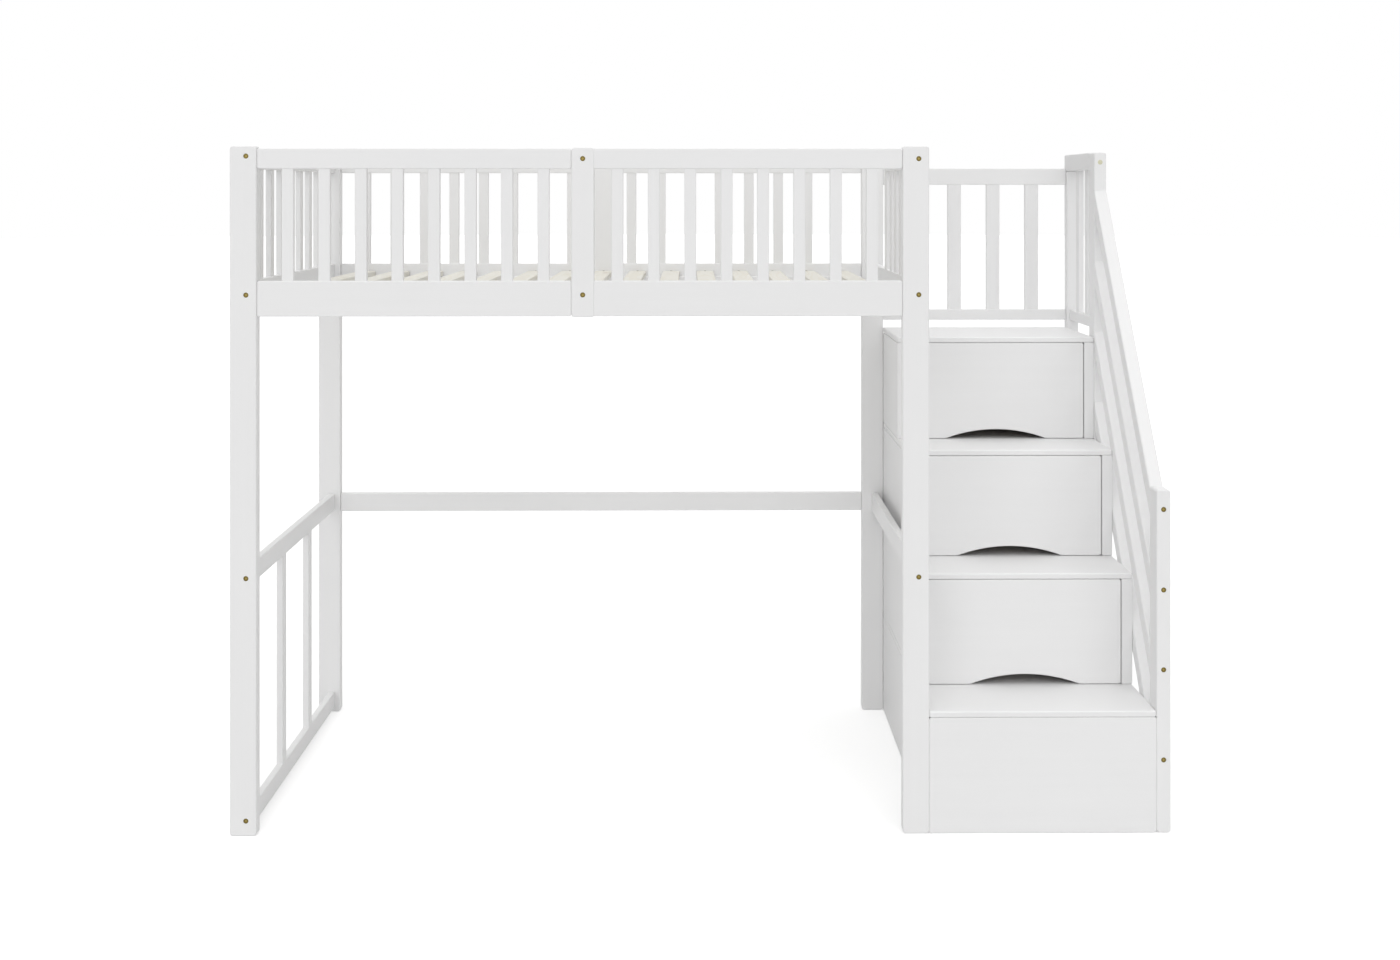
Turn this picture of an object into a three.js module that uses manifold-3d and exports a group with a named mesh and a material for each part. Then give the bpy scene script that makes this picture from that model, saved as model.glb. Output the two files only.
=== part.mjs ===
// A loft bed for one twin mattress, reached by a stair at its right end.
// The lowest step is a fixed box and the three steps above it hold drawers.
//
// Millimetres, +Z up. The origin is on the floor under the middle of the outline, the long side
// runs along X with the stair at +X, and the front, where the drawers pull out, faces -Y.

import * as THREE from "three";
import { mergeVertices } from "three/addons/utils/BufferGeometryUtils.js";
import Module from "manifold-3d";

const wasm = await Module();
wasm.setup();

// Driving sizes: bed frame
const bedLength = 2005; // over the corner posts
const bedDepth = 1066; // front face of the front posts to rear face of the rear posts
const sideRailTop = 1588.5; // floor to the top of the rails that carry the base
const guardHeight = 386.5; // side rail's top to the top of the posts
const postWidth = 76; // along the bed
const postDepth = 36;

// Driving sizes: stair
const cabinetWidth = 655;
const cabinetSetback = 24; // rear face of the posts to the cabinet's back
const firstRise = 350; // floor to first tread
const landingDrop = 227.5; // side rail's top to the landing
const landingDepth = 373;
const drawerCount = 3;
const boardThickness = 18; // treads, sides, riser and drawer fronts
const stairPost = 40; // width of the three posts outside the cabinet
const newelDepth = 65;
const newelHeight = 986;
const rearPostDepth = 40;

// Fits and edges
const joint = 0.3; // gap between pieces that are bolted or laid together
const overrun = 1; // how far one joined piece runs into the next
const ease = 2; // chamfer on timber edges
const boardCorner = 4; // chamfer on a board's corners
const slatEase = 1.5; // chamfer on the thin uprights
const slatCorner = 3;
const treadEase = 3;
const postCorner = 8; // rounding of a post's ends, seen from the front
const postCornerSteps = 3;
const barEase = 5; // rounding of the hand bars
const barEaseSteps = 2;

// Guard rails of the bed
const railThickness = 22;
const railRecess = 3; // rails stand this far behind the post faces
const topRailHeight = 58;
const topRailDrop = 6.5; // below the top of the posts
const sideRailHeight = 102;
const guardSlatWidth = 34;
const guardSlatThickness = 17;
const guardSlatPitch = 104.7; // long sides
const guardSlatGap = 70.5; // from a post to the first upright
const leastGap = 30; // the last upright stays this far from what ends its row
const endSlatCount = 8;
const entrySlatCount = 5;
const tenon = 12; // how far uprights run into rails

// Board that covers the joint of the two half guards
const coverWidth = 65;
const coverLap = 2.5; // above the top rail and below the side rail
const coverShift = 7; // to the right of the bed's middle

// Short guard at the stair end, which stops at the way in
const entryStileWidth = 37;
const entryStileLap = 8; // past the landing's front edge

// End panel and stretchers near the floor
const lowerRailTop = 773;
const lowerRailHeight = 58;
const stretcherHeight = 64;
const footRailLift = 15; // floor to the foot rail
const footRailHeight = 56;
const panelSlatWidth = 40;
const panelSlatThickness = 20;
const panelSlatGap = 319; // from a post to the nearer upright

// Slatted base
const baseSlatCount = 15;
const baseSlatWidth = 60;
const baseSlatThickness = 18;
const baseSlatDrop = 25.5; // below the side rail's top
const baseEndGap = 83; // end rail to the first slat
const baseSideGap = 1; // side rail to a slat's end
const cleatWidth = 24;
const cleatHeight = 30;

// Bolts: a shallow seat in the timber for each flat head
const boltSeatRadius = 7.5;
const boltSeatDepth = 2.5;
const boltSeatSides = 16;
const boltInset = 46; // left edge of a bed post to its bolts, which hold the end rails
const leftTopBoltLift = 7; // the left end's top bolt above the middle of its rail
const sideBoltDrop = 40; // below the side rail's top
const lowerBoltDrop = 36; // below the lower rail's top
const middleBoltDrop = 32.5; // middle stair post's top to its upper bolt
const middleBoltLift = 52; // landing to that post's lower bolt
const newelBoltShares = [0.943, 0.708, 0.475, 0.212]; // of the newel's height

// Cabinet
const stileWidth = 15; // how far a stile reaches past its side board, beside the drawer
const stileDepth = 18;
const guideHeight = 20; // strip that keeps the drawer straight
const backThickness = 9;

// Drawers
const frontGap = 2.5; // at each side of a drawer front
const frontTopGap = 1.2; // to the tread above it
const frontFloorGap = 1.5; // to the tread below it
const archWidth = 332; // finger arch in the lower edge
const archHeight = 30;
const archSteps = 18;
const trayWall = 12;
const trayRunningGap = 3; // each side, to the stiles and guides
const trayHeight = 225;
const trayBottom = 6;
const trayBottomLift = 46; // fingers reach under the bottom through the arch
const trayRearGap = 28;

// Sloping bars beside the stair
const barThickness = 46; // square to the slope
const barCount = 4;
const barDropLow = 6; // top bar below the newel's top
const barDropHigh = 127; // top bar below the middle post's top
const barFloorGap = 197; // floor to the lowest bar

// Guards around the landing
const landingRailHeight = 37;
const landingRailLift = 26; // landing to the lower rails
const sideGuardRail = 57;
const sideGuardSlatWidth = 35;
const sideGuardSlatThickness = 18;
const sideGuardSlatGap = 64;
const sideGuardSlatPitch = 112;
const rearGuardDrop = 48; // below the top of the posts
const rearGuardRail = 58;
const rearGuardRecess = 1;
const rearGuardSlatWidth = 47;
const rearGuardSlatThickness = 18;
const rearGuardSlatGap = 95;
const rearGuardSlatPitch = 138;

// Places that follow from the sizes, shared by several pieces
const postHeight = sideRailTop + guardHeight;
const overallLength = bedLength + joint + cabinetWidth + joint + stairPost;
const bedLeft = -overallLength / 2;
const bedRight = bedLeft + bedLength;
const frontY = -bedDepth / 2;
const rearY = bedDepth / 2;
const innerLeft = bedLeft + postWidth;
const innerRight = bedRight - postWidth;
const endRailLeft = bedLeft + boltInset;
const endRailRight = innerRight + boltInset;
const endY = [frontY + postDepth + joint, rearY - postDepth - joint];
const topRailZ = [postHeight - topRailDrop - topRailHeight, postHeight - topRailDrop];
const sideRailZ = [sideRailTop - sideRailHeight, sideRailTop];
const lowerRailZ = [lowerRailTop - lowerRailHeight, lowerRailTop];
const stretcherZ = [lowerRailTop - stretcherHeight, lowerRailTop];
const footRailZ = [footRailLift, footRailLift + footRailHeight];
const baseTop = sideRailTop - baseSlatDrop;
const topBolt = (topRailZ[0] + topRailZ[1]) / 2;
const sideBolt = sideRailTop - sideBoltDrop;
const lowerBolt = lowerRailTop - lowerBoltDrop;
const footBolt = (footRailZ[0] + footRailZ[1]) / 2;

const cabinetLeft = bedRight + joint;
const cabinetRight = cabinetLeft + cabinetWidth;
const cabinetX = [cabinetLeft, cabinetRight];
const cabinetRear = rearY - cabinetSetback;
const shelfRear = cabinetRear - backThickness - joint;
const insideX = [cabinetLeft + boardThickness, cabinetRight - boardThickness];
const mouthX = [insideX[0] + stileWidth, insideX[1] - stileWidth];
const landing = sideRailTop - landingDrop;
const landingFront = cabinetRear - landingDepth;
const rise = (landing - firstRise) / drawerCount;
const going = (landingFront - frontY - boardThickness) / drawerCount;
const treadTop = (k) => firstRise + k * rise;
const stepFront = (k) => (k ? frontY + boardThickness + k * going : frontY);
const stairPostX = cabinetRight + joint + stairPost / 2;
const landingRailZ = [landing + landingRailLift, landing + landingRailLift + landingRailHeight];

const group = new THREE.Group();

// Materials: each piece gets its own
const paint = () =>
  new THREE.MeshStandardMaterial({ color: 0xececea, roughness: 0.45, metalness: 0, flatShading: true });
const rawPine = () =>
  new THREE.MeshStandardMaterial({ color: 0xe8dbbd, roughness: 0.7, metalness: 0, flatShading: true });

// Adds a piece with its own origin at its middle
function place(name, geometry, material = paint(), parent = group) {
  const middle = new THREE.Vector3();
  geometry.computeBoundingBox();
  geometry.boundingBox.getCenter(middle);
  geometry.translate(-middle.x, -middle.y, -middle.z);
  const mesh = new THREE.Mesh(geometry, material);
  mesh.name = name;
  mesh.position.copy(middle);
  parent.add(mesh);
}

// A closed solid, for joining and cutting
function solidOf(geometry) {
  const bare = new THREE.BufferGeometry();
  bare.setAttribute("position", geometry.getAttribute("position"));
  if (geometry.index) bare.setIndex(geometry.index);
  const merged = mergeVertices(bare);
  return new wasm.Manifold(
    new wasm.Mesh({
      numProp: 3,
      vertProperties: merged.getAttribute("position").array,
      triVerts: new Uint32Array(merged.index.array),
    }),
  );
}

function geometryOf(solid) {
  const mesh = solid.getMesh();
  const geometry = new THREE.BufferGeometry();
  geometry.setAttribute("position", new THREE.BufferAttribute(mesh.vertProperties, 3));
  geometry.setIndex(new THREE.BufferAttribute(mesh.triVerts, 1));
  geometry.computeVertexNormals();
  return geometry;
}

const join = (pieces) => geometryOf(pieces.map(solidOf).reduce((all, one) => all.add(one)));
const cut = (piece, cutters) =>
  geometryOf(cutters.map(solidOf).reduce((rest, cutter) => rest.subtract(cutter), solidOf(piece)));

// An outline in XY given a thickness, centred on its plane, with eased edges inside the outline
function plate(points, thickness, edge, edgeSteps = 1) {
  const geometry = new THREE.ExtrudeGeometry(new THREE.Shape(points), {
    depth: thickness - 2 * edge,
    bevelEnabled: edge > 0,
    bevelThickness: edge,
    bevelSize: edge,
    bevelOffset: -edge,
    bevelSegments: edgeSteps,
    steps: 1,
  });
  return geometry.translate(0, 0, edge - thickness / 2);
}

// Points of a rectangle, counter-clockwise from its right edge, with each corner rounded
function roundedRectangle(width, height, corner, steps) {
  const x = width / 2 - corner;
  const y = height / 2 - corner;
  const centres = [[x, y], [-x, y], [-x, -y], [x, -y]];
  return centres.flatMap(([cx, cy], quarter) =>
    Array.from({ length: steps + 1 }, (_, i) => {
      const angle = ((quarter + i / steps) * Math.PI) / 2;
      return new THREE.Vector2(cx + corner * Math.cos(angle), cy + corner * Math.sin(angle));
    }));
}

// Stands a plate up so that its face is square to Y or to X and its outline's second axis is Z
const faceY = (geometry) => geometry.rotateX(Math.PI / 2);
const faceX = (geometry) => faceY(geometry).rotateZ(Math.PI / 2);

// A board that fills three ranges, with its broad face square to the axis named
function board(x, y, z, face, corner = boardCorner, edge = ease, steps = 1) {
  const [length, depth, height] = [x, y, z].map(([low, high]) => high - low);
  const outlines = { x: [depth, height, length], y: [length, height, depth], z: [length, depth, height] };
  const [across, along, thickness] = outlines[face];
  const stand = { x: faceX, y: faceY, z: (geometry) => geometry }[face];
  const middle = [x, y, z].map(([low, high]) => (low + high) / 2);
  return stand(plate(roundedRectangle(across, along, corner, steps), thickness, edge)).translate(...middle);
}

const post = (x, y, z) => board(x, y, z, "y", postCorner, ease, postCornerSteps);
const upright = (x, y, z, face) =>
  board(x, y, [z[0] - tenon, z[1] + tenon], face, slatCorner, slatEase);
const centred = (middle, size) => [middle - size / 2, middle + size / 2];

// Seats sunk into a face square to Y for the bolt heads
const boltSeats = (x, y, heights) =>
  heights.map((z) =>
    new THREE.CylinderGeometry(boltSeatRadius, boltSeatRadius, 2 * boltSeatDepth, boltSeatSides)
      .translate(x, y, z));

// Where a row of uprights starts, a pitch apart, for as long as the least gap is left at its end
function rowStarts(span, firstGap, width, pitch) {
  const starts = [];
  for (let at = firstGap; at + width + leastGap <= span; at += pitch) starts.push(at);
  return starts;
}

// Where uprights with equal gaps start
function evenStarts(span, count, width) {
  const gap = (span - count * width) / (count + 1);
  return Array.from({ length: count }, (_, i) => gap + i * (gap + width));
}

// Front long side of the bed. The rear side is the same seen in a mirror.
function longSide(side, parent) {
  const postY = [frontY, frontY + postDepth];
  const railY = [frontY + railRecess, frontY + railRecess + railThickness];
  const slatY = centred((railY[0] + railY[1]) / 2, guardSlatThickness);
  const slatZ = [sideRailTop, topRailZ[0]];

  const leftBolts = [topBolt + leftTopBoltLift, sideBolt, lowerBolt, footBolt];
  const leftSeats = boltSeats(endRailLeft, frontY, leftBolts);
  const rightSeats = boltSeats(endRailRight, frontY, [topBolt, sideBolt, lowerBolt]);
  const leftPost = cut(post([bedLeft, innerLeft], postY, [0, postHeight]), leftSeats);
  const rightPost = cut(post([innerRight, bedRight], postY, [0, postHeight]), rightSeats);
  place(`post_${side}_left`, leftPost, paint(), parent);
  place(`post_${side}_right`, rightPost, paint(), parent);

  const coverMiddle = (bedLeft + bedRight) / 2 + coverShift;
  const coverX = centred(coverMiddle, coverWidth);
  const rails = (x) => [board(x, railY, topRailZ, "y"), board(x, railY, sideRailZ, "y")];
  const slat = (x) => upright([x, x + guardSlatWidth], slatY, slatZ, "y");

  const leftStarts = rowStarts(coverX[0] - innerLeft, guardSlatGap, guardSlatWidth, guardSlatPitch);
  const leftHalf = [
    ...rails([innerLeft + joint, coverX[0] - joint]),
    ...leftStarts.map((at) => slat(innerLeft + at)),
  ];
  place(`guard_${side}_left`, join(leftHalf), paint(), parent);

  const rightStarts = rowStarts(innerRight - coverX[1], guardSlatGap, guardSlatWidth, guardSlatPitch);
  const cover = post(coverX, [frontY, railY[1]], [sideRailZ[0] - coverLap, topRailZ[1] + coverLap]);
  const rightHalf = [
    cover,
    ...rails([coverMiddle, innerRight - joint]),
    ...rightStarts.map((at) => slat(innerRight - at - guardSlatWidth)),
  ];
  const coverSeats = boltSeats(coverMiddle, frontY, [topBolt, sideBolt]);
  place(`guard_${side}_right`, cut(join(rightHalf), coverSeats), paint(), parent);

  const cleatX = [innerLeft + joint, innerRight - joint];
  const cleatY = [railY[1] + joint, railY[1] + joint + cleatWidth];
  const cleatTop = baseTop - baseSlatThickness - joint;
  const cleat = board(cleatX, cleatY, [cleatTop - cleatHeight, cleatTop], "y");
  place(`base_cleat_${side}`, cleat, paint(), parent);
}

// Ends of the bed: rails between the posts, in line with the bolts, and the way in at the landing
function bedEnds() {
  const leftX = centred(endRailLeft, railThickness);
  const rightX = centred(endRailRight, railThickness);
  const slat = (middle, start) =>
    upright(centred(middle, guardSlatThickness), [start, start + guardSlatWidth],
      [sideRailTop, topRailZ[0]], "x");

  const leftStarts = evenStarts(endY[1] - endY[0], endSlatCount, guardSlatWidth);
  place("guard_left_end", join([
    board(leftX, endY, topRailZ, "x"),
    board(leftX, endY, sideRailZ, "x"),
    ...leftStarts.map((at) => slat(endRailLeft, endY[0] + at)),
  ]));

  const stileRear = landingFront + entryStileLap;
  const stileY = [stileRear - entryStileWidth, stileRear];
  const entryStarts = evenStarts(stileY[0] - endY[0], entrySlatCount, guardSlatWidth);
  place("guard_right_end", join([
    board(rightX, [endY[0], stileRear], topRailZ, "x"),
    board(rightX, endY, sideRailZ, "x"),
    board(rightX, stileY, [sideRailTop - tenon, topRailZ[1]], "x"),
    ...entryStarts.map((at) => slat(endRailRight, endY[0] + at)),
  ]));

  const panelStarts = [panelSlatGap, endY[1] - endY[0] - panelSlatGap - panelSlatWidth];
  place("panel_left_end", join([
    board(leftX, endY, lowerRailZ, "x"),
    board(leftX, endY, footRailZ, "x"),
    ...panelStarts.map((at) =>
      upright(centred(endRailLeft, panelSlatThickness),
        [endY[0] + at, endY[0] + at + panelSlatWidth], [footRailZ[1], lowerRailZ[0]], "x")),
  ]));

  place("stretcher_right_end", board(rightX, endY, stretcherZ, "x"));
  const rearStretcherY = centred(rearY - postDepth / 2, railThickness);
  place("stretcher_rear", board([innerLeft + joint, innerRight - joint], rearStretcherY, stretcherZ, "y"));
}

// Slats of the base, laid on the two cleats
function slattedBase() {
  const left = endRailLeft + railThickness / 2 + baseEndGap;
  const right = endRailRight - railThickness / 2 - baseEndGap;
  const pitch = (right - left - baseSlatWidth) / (baseSlatCount - 1);
  const reach = railRecess + railThickness + baseSideGap;
  for (let i = 0; i < baseSlatCount; i++) {
    const x = left + i * pitch;
    const slat = board([x, x + baseSlatWidth], [frontY + reach, rearY - reach],
      [baseTop - baseSlatThickness, baseTop], "z");
    place(`base_slat_${String(i + 1).padStart(2, "0")}`, slat, rawPine());
  }
}

// Side boards of one step. A drawer's step has a stile at the front, which covers the end of the
// side board and runs on to the drawer's mouth, and a guide along the floor.
function stepSides(k) {
  const bottom = k ? treadTop(k - 1) + joint : 0;
  const top = treadTop(k) - boardThickness - joint;
  const front = k ? stepFront(k) : frontY + boardThickness + joint;
  const behindStile = [front + stileDepth - boardCorner - overrun, shelfRear];
  const sides = {
    left: [[cabinetLeft, insideX[0]], [cabinetLeft, mouthX[0]], [insideX[0] - overrun, mouthX[0]]],
    right: [[insideX[1], cabinetRight], [mouthX[1], cabinetRight], [mouthX[1], insideX[1] + overrun]],
  };
  for (const [side, [wallX, stileX, guideX]] of Object.entries(sides)) {
    const pieces = [board(wallX, k ? behindStile : [front, shelfRear], [bottom, top], "x")];
    if (k) {
      const stile = board(stileX, [front, front + stileDepth], [bottom, top], "y", ease);
      const guide = board(guideX, behindStile, [bottom, bottom + guideHeight], "x");
      pieces.push(stile, guide);
    }
    place(`step_${k + 1}_side_${side}`, join(pieces));
  }
}

// The cabinet: each tread is the floor of the box above it, and the landing covers the back panel
function cabinet() {
  for (let k = 0; k <= drawerCount; k++) {
    stepSides(k);
    const treadY = [stepFront(k), k === drawerCount ? cabinetRear : shelfRear];
    const treadZ = [treadTop(k) - boardThickness, treadTop(k)];
    place(`step_${k + 1}_tread`, board(cabinetX, treadY, treadZ, "z", boardCorner, treadEase));
  }
  const riserTop = firstRise - boardThickness - joint;
  place("step_1_riser", board(cabinetX, [frontY, frontY + boardThickness], [0, riserTop], "y"));
  const backTop = landing - boardThickness - joint;
  place("cabinet_back", board(cabinetX, [cabinetRear - backThickness, cabinetRear], [0, backTop], "y"));
}

// Outline of a drawer front, whose lower edge has a finger arch: part of a circle
function frontOutline(width, height) {
  const halfArch = archWidth / 2;
  const radius = (halfArch ** 2 + archHeight ** 2) / (2 * archHeight);
  const reach = Math.asin(halfArch / radius);
  const crown = archHeight - height / 2;
  const arch = Array.from({ length: archSteps + 1 }, (_, i) => {
    const angle = reach * ((2 * i) / archSteps - 1);
    return new THREE.Vector2(radius * Math.sin(angle), crown - radius * (1 - Math.cos(angle)));
  });
  const corners = roundedRectangle(width, height, boardCorner, 1);
  const lastCorner = (3 * corners.length) / 4;
  return [...corners.slice(0, lastCorner), ...arch, ...corners.slice(lastCorner)];
}

// A tray with its front left open: two sides and a back, grooved for a raised bottom
function tray(width, front, rear) {
  const [left, right] = centred(0, width);
  const wallOutline = [
    [left, front], [left + trayWall, front], [left + trayWall, rear - trayWall],
    [right - trayWall, rear - trayWall], [right - trayWall, front], [right, front],
    [right, rear], [left, rear],
  ].map(([x, y]) => new THREE.Vector2(x, y));
  const walls = plate(wallOutline, trayHeight, 0).translate(0, 0, joint + trayHeight / 2);
  const groove = trayWall / 2;
  const bottomDepth = rear - groove - front;
  const bottom = new THREE.BoxGeometry(width - 2 * groove, bottomDepth, trayBottom)
    .translate(0, front + bottomDepth / 2, joint + trayBottomLift + trayBottom / 2);
  return join([walls, bottom]);
}

// A drawer in a group of its own, whose origin is on the tread under the middle of its front
function drawer(k) {
  const parent = new THREE.Group();
  parent.position.set((mouthX[0] + mouthX[1]) / 2, stepFront(k), treadTop(k - 1));
  group.add(parent);

  const mouth = mouthX[1] - mouthX[0];
  const room = treadTop(k) - boardThickness - treadTop(k - 1);
  const frontHeight = room - frontTopGap - frontFloorGap;
  const outline = frontOutline(mouth - 2 * frontGap, frontHeight);
  const front = faceY(plate(outline, boardThickness, ease))
    .translate(0, boardThickness / 2, frontFloorGap + frontHeight / 2);
  place(`drawer_${k + 1}_front`, front, paint(), parent);

  const trayRear = shelfRear - trayRearGap - stepFront(k);
  const body = tray(mouth - 2 * trayRunningGap, boardThickness + joint, trayRear);
  place(`drawer_${k + 1}_tray`, body, rawPine(), parent);
}

const newelY = [frontY, frontY + newelDepth];
const middlePostY = [landingFront, landingFront + newelDepth];
const stairPostRange = centred(stairPostX, stairPost);

// Posts outside the cabinet
function stairPosts() {
  const newelSeats = boltSeats(stairPostX, newelY[0], newelBoltShares.map((share) => share * newelHeight));
  place("newel", cut(post(stairPostRange, newelY, [0, newelHeight]), newelSeats));

  const middleBolts = [postHeight - middleBoltDrop, landing + middleBoltLift];
  const middleSeats = boltSeats(stairPostX, middlePostY[0], middleBolts);
  place("post_stair_middle", cut(post(stairPostRange, middlePostY, [0, postHeight]), middleSeats));

  const rearPostTop = postHeight - sideGuardRail - joint;
  place("post_stair_rear", post(stairPostRange, [rearY - rearPostDepth, rearY], [0, rearPostTop]));
}

// Sloping bars, cut upright at both ends to seat on the newel and on the middle post
function slopingBars() {
  const start = newelY[1] + joint;
  const run = middlePostY[0] - joint - start;
  const topLow = newelHeight - barDropLow;
  const climb = postHeight - barDropHigh - topLow;
  const cutHeight = (barThickness * Math.hypot(run, climb)) / run;
  const spacing = (topLow - cutHeight - barFloorGap) / (barCount - 1);
  const outline = [[0, 0], [0, -cutHeight], [run, climb - cutHeight], [run, climb]]
    .map(([y, z]) => new THREE.Vector2(y, z));
  for (let i = 0; i < barCount; i++) {
    const bar = faceX(plate(outline, stairPost, barEase, barEaseSteps));
    place(`sloping_bar_${i + 1}`, bar.translate(stairPostX, start, topLow - i * spacing));
  }
}

// Guards at the open side of the landing and behind it
function landingGuards() {
  const start = middlePostY[1] + joint;
  const end = rearY - rearPostDepth - joint;
  const sideStarts = rowStarts(end - start, sideGuardSlatGap, sideGuardSlatWidth, sideGuardSlatPitch);
  const sideTopZ = [postHeight - sideGuardRail, postHeight];
  place("guard_landing_side", join([
    board(stairPostRange, [start, rearY], sideTopZ, "x"),
    board(centred(stairPostX, railThickness), [start, end], landingRailZ, "x"),
    ...sideStarts.map((at) =>
      upright(centred(stairPostX, sideGuardSlatThickness),
        [start + at, start + at + sideGuardSlatWidth], [landingRailZ[1], sideTopZ[0]], "x")),
  ]));

  const railRear = rearY - rearGuardRecess;
  const railY = [railRear - railThickness, railRear];
  const railTop = postHeight - rearGuardDrop;
  const rearTopZ = [railTop - rearGuardRail, railTop];
  const slatY = centred((railY[0] + railY[1]) / 2, rearGuardSlatThickness);
  const rearStarts = rowStarts(cabinetWidth, rearGuardSlatGap, rearGuardSlatWidth, rearGuardSlatPitch);
  place("guard_landing_rear", join([
    board(cabinetX, railY, rearTopZ, "y"),
    board(cabinetX, railY, landingRailZ, "y"),
    ...rearStarts.map((at) =>
      upright([cabinetLeft + at, cabinetLeft + at + rearGuardSlatWidth], slatY,
        [landingRailZ[1], rearTopZ[0]], "y")),
  ]));
}

const rearHalf = new THREE.Group();
rearHalf.scale.y = -1;
group.add(rearHalf);
longSide("front", group);
longSide("rear", rearHalf);
bedEnds();
slattedBase();
cabinet();
for (let k = 1; k <= drawerCount; k++) drawer(k);
stairPosts();
slopingBars();
landingGuards();

export default group;
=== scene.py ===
import math

import bmesh
import bpy
from bpy.props import FloatProperty, FloatVectorProperty, PointerProperty
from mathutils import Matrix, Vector


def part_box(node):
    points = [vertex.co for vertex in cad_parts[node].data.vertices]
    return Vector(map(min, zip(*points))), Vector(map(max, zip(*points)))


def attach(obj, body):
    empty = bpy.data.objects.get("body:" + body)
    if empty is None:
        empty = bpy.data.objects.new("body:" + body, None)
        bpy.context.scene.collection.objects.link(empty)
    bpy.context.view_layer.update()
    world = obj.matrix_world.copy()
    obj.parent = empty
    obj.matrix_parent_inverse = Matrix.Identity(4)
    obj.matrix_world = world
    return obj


bl_info = {
    "name": "Loft Bed with Storage Stair",
    "version": (1, 0, 0),
    "blender": (4, 5, 0),
    "location": "3D View > Sidebar > Loft Bed",
    "description": "Paint, wood finishes and fittings of a loft bed whose stair holds drawers",
    "category": "Object",
}

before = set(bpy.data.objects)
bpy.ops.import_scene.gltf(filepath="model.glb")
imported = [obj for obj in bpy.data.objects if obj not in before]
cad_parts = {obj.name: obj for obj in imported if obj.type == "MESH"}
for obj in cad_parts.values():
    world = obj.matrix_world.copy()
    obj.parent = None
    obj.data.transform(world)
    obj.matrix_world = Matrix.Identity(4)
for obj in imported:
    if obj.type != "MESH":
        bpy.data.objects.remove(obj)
bpy.context.view_layer.update()

ORIGIN = (0.0, 0.0, 0.0)
WHITE = (1.0, 1.0, 1.0, 1.0)

# Directions that a board's grain can run in.
ALONG_X = (1.0, 0.0, 0.0)
ALONG_Y = (0.0, 1.0, 0.0)
UPRIGHT = (0.0, 0.0, 1.0)

# Directions that a fitting can face.
TO_FRONT = (0.0, -1.0, 0.0)
TO_BACK = (0.0, 1.0, 0.0)
TO_LEFT = (-1.0, 0.0, 0.0)
TO_RIGHT = (1.0, 0.0, 0.0)
UP = (0.0, 0.0, 1.0)

# Heights between which a guard shows its uprights: below and above them are its rails.
BED_GUARD_GAP = (1.5885, 1.9105)
LANDING_SIDE_GAP = (1.424, 1.918)
LANDING_REAR_GAP = (1.424, 1.869)
END_PANEL_GAP = (0.073, 0.715)
NO_GAP = (0.0, 0.0)

# Height of a sloping bar's upright end.
BAR_CUT_HEIGHT = 0.0806


def one_way(grain):
    """A board whose grain runs the same way all over."""
    return grain, grain, NO_GAP


def sloping_bar(name):
    """A sloping bar, whose grain follows its slope. The slope is taken from the box it fills."""
    low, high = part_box(name)
    run = Vector((0.0, high.y - low.y, high.z - low.z - BAR_CUT_HEIGHT))
    return one_way(tuple(run.normalized()))


# Every painted part: the grain of its rails, the grain between the rails, and those heights.
BED_PAINT = {
    "post_front_left": one_way(UPRIGHT),
    "post_front_right": one_way(UPRIGHT),
    "post_rear_left": one_way(UPRIGHT),
    "post_rear_right": one_way(UPRIGHT),
    "guard_front_left": (ALONG_X, UPRIGHT, BED_GUARD_GAP),
    "guard_front_right": (ALONG_X, UPRIGHT, BED_GUARD_GAP),
    "guard_rear_left": (ALONG_X, UPRIGHT, BED_GUARD_GAP),
    "guard_rear_right": (ALONG_X, UPRIGHT, BED_GUARD_GAP),
    "guard_left_end": (ALONG_Y, UPRIGHT, BED_GUARD_GAP),
    "guard_right_end": (ALONG_Y, UPRIGHT, BED_GUARD_GAP),
    "panel_left_end": (ALONG_Y, UPRIGHT, END_PANEL_GAP),
    "stretcher_right_end": one_way(ALONG_Y),
    "stretcher_rear": one_way(ALONG_X),
    "base_cleat_front": one_way(ALONG_X),
    "base_cleat_rear": one_way(ALONG_X),
}
STEP_BOARDS = {"tread": ALONG_X, "side_left": UPRIGHT, "side_right": UPRIGHT}
STAIR_PAINT = {
    "step_1_riser": one_way(ALONG_X),
    "cabinet_back": one_way(UPRIGHT),
    "newel": one_way(UPRIGHT),
    "post_stair_middle": one_way(UPRIGHT),
    "post_stair_rear": one_way(UPRIGHT),
    "guard_landing_side": (ALONG_Y, UPRIGHT, LANDING_SIDE_GAP),
    "guard_landing_rear": (ALONG_X, UPRIGHT, LANDING_REAR_GAP),
    **{
        f"step_{step}_{board}": one_way(grain)
        for step in range(1, 5) for board, grain in STEP_BOARDS.items()
    },
    **{f"sloping_bar_{bar}": sloping_bar(f"sloping_bar_{bar}") for bar in range(1, 5)},
}

RAW_PINE = [f"base_slat_{number:02d}" for number in range(1, 16)]
DRAWERS = (2, 3, 4)

# Where the bolt seats of the CAD parts are: the face's distance from the middle, then x and z.
BED_FACE = 0.533
BED_BOLTS = (
    (-1.3043, 1.9465), (-1.3043, 1.5485), (-1.3043, 0.737), (-1.3043, 0.043),
    (0.6247, 1.9395), (0.6247, 1.5485), (0.6247, 0.737),
    (-0.3408, 1.9395), (-0.3408, 1.5485),
)
NEWEL_BOLTS = ((1.3303, 0.9298), (1.3303, 0.6981), (1.3303, 0.4684), (1.3303, 0.209))
MIDDLE_POST_FACE = 0.136
MIDDLE_POST_CAPS = {"upper": (1.3303, 1.9425), "lower": (1.3303, 1.413)}
SEAT_DEPTH = 0.0025

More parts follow.
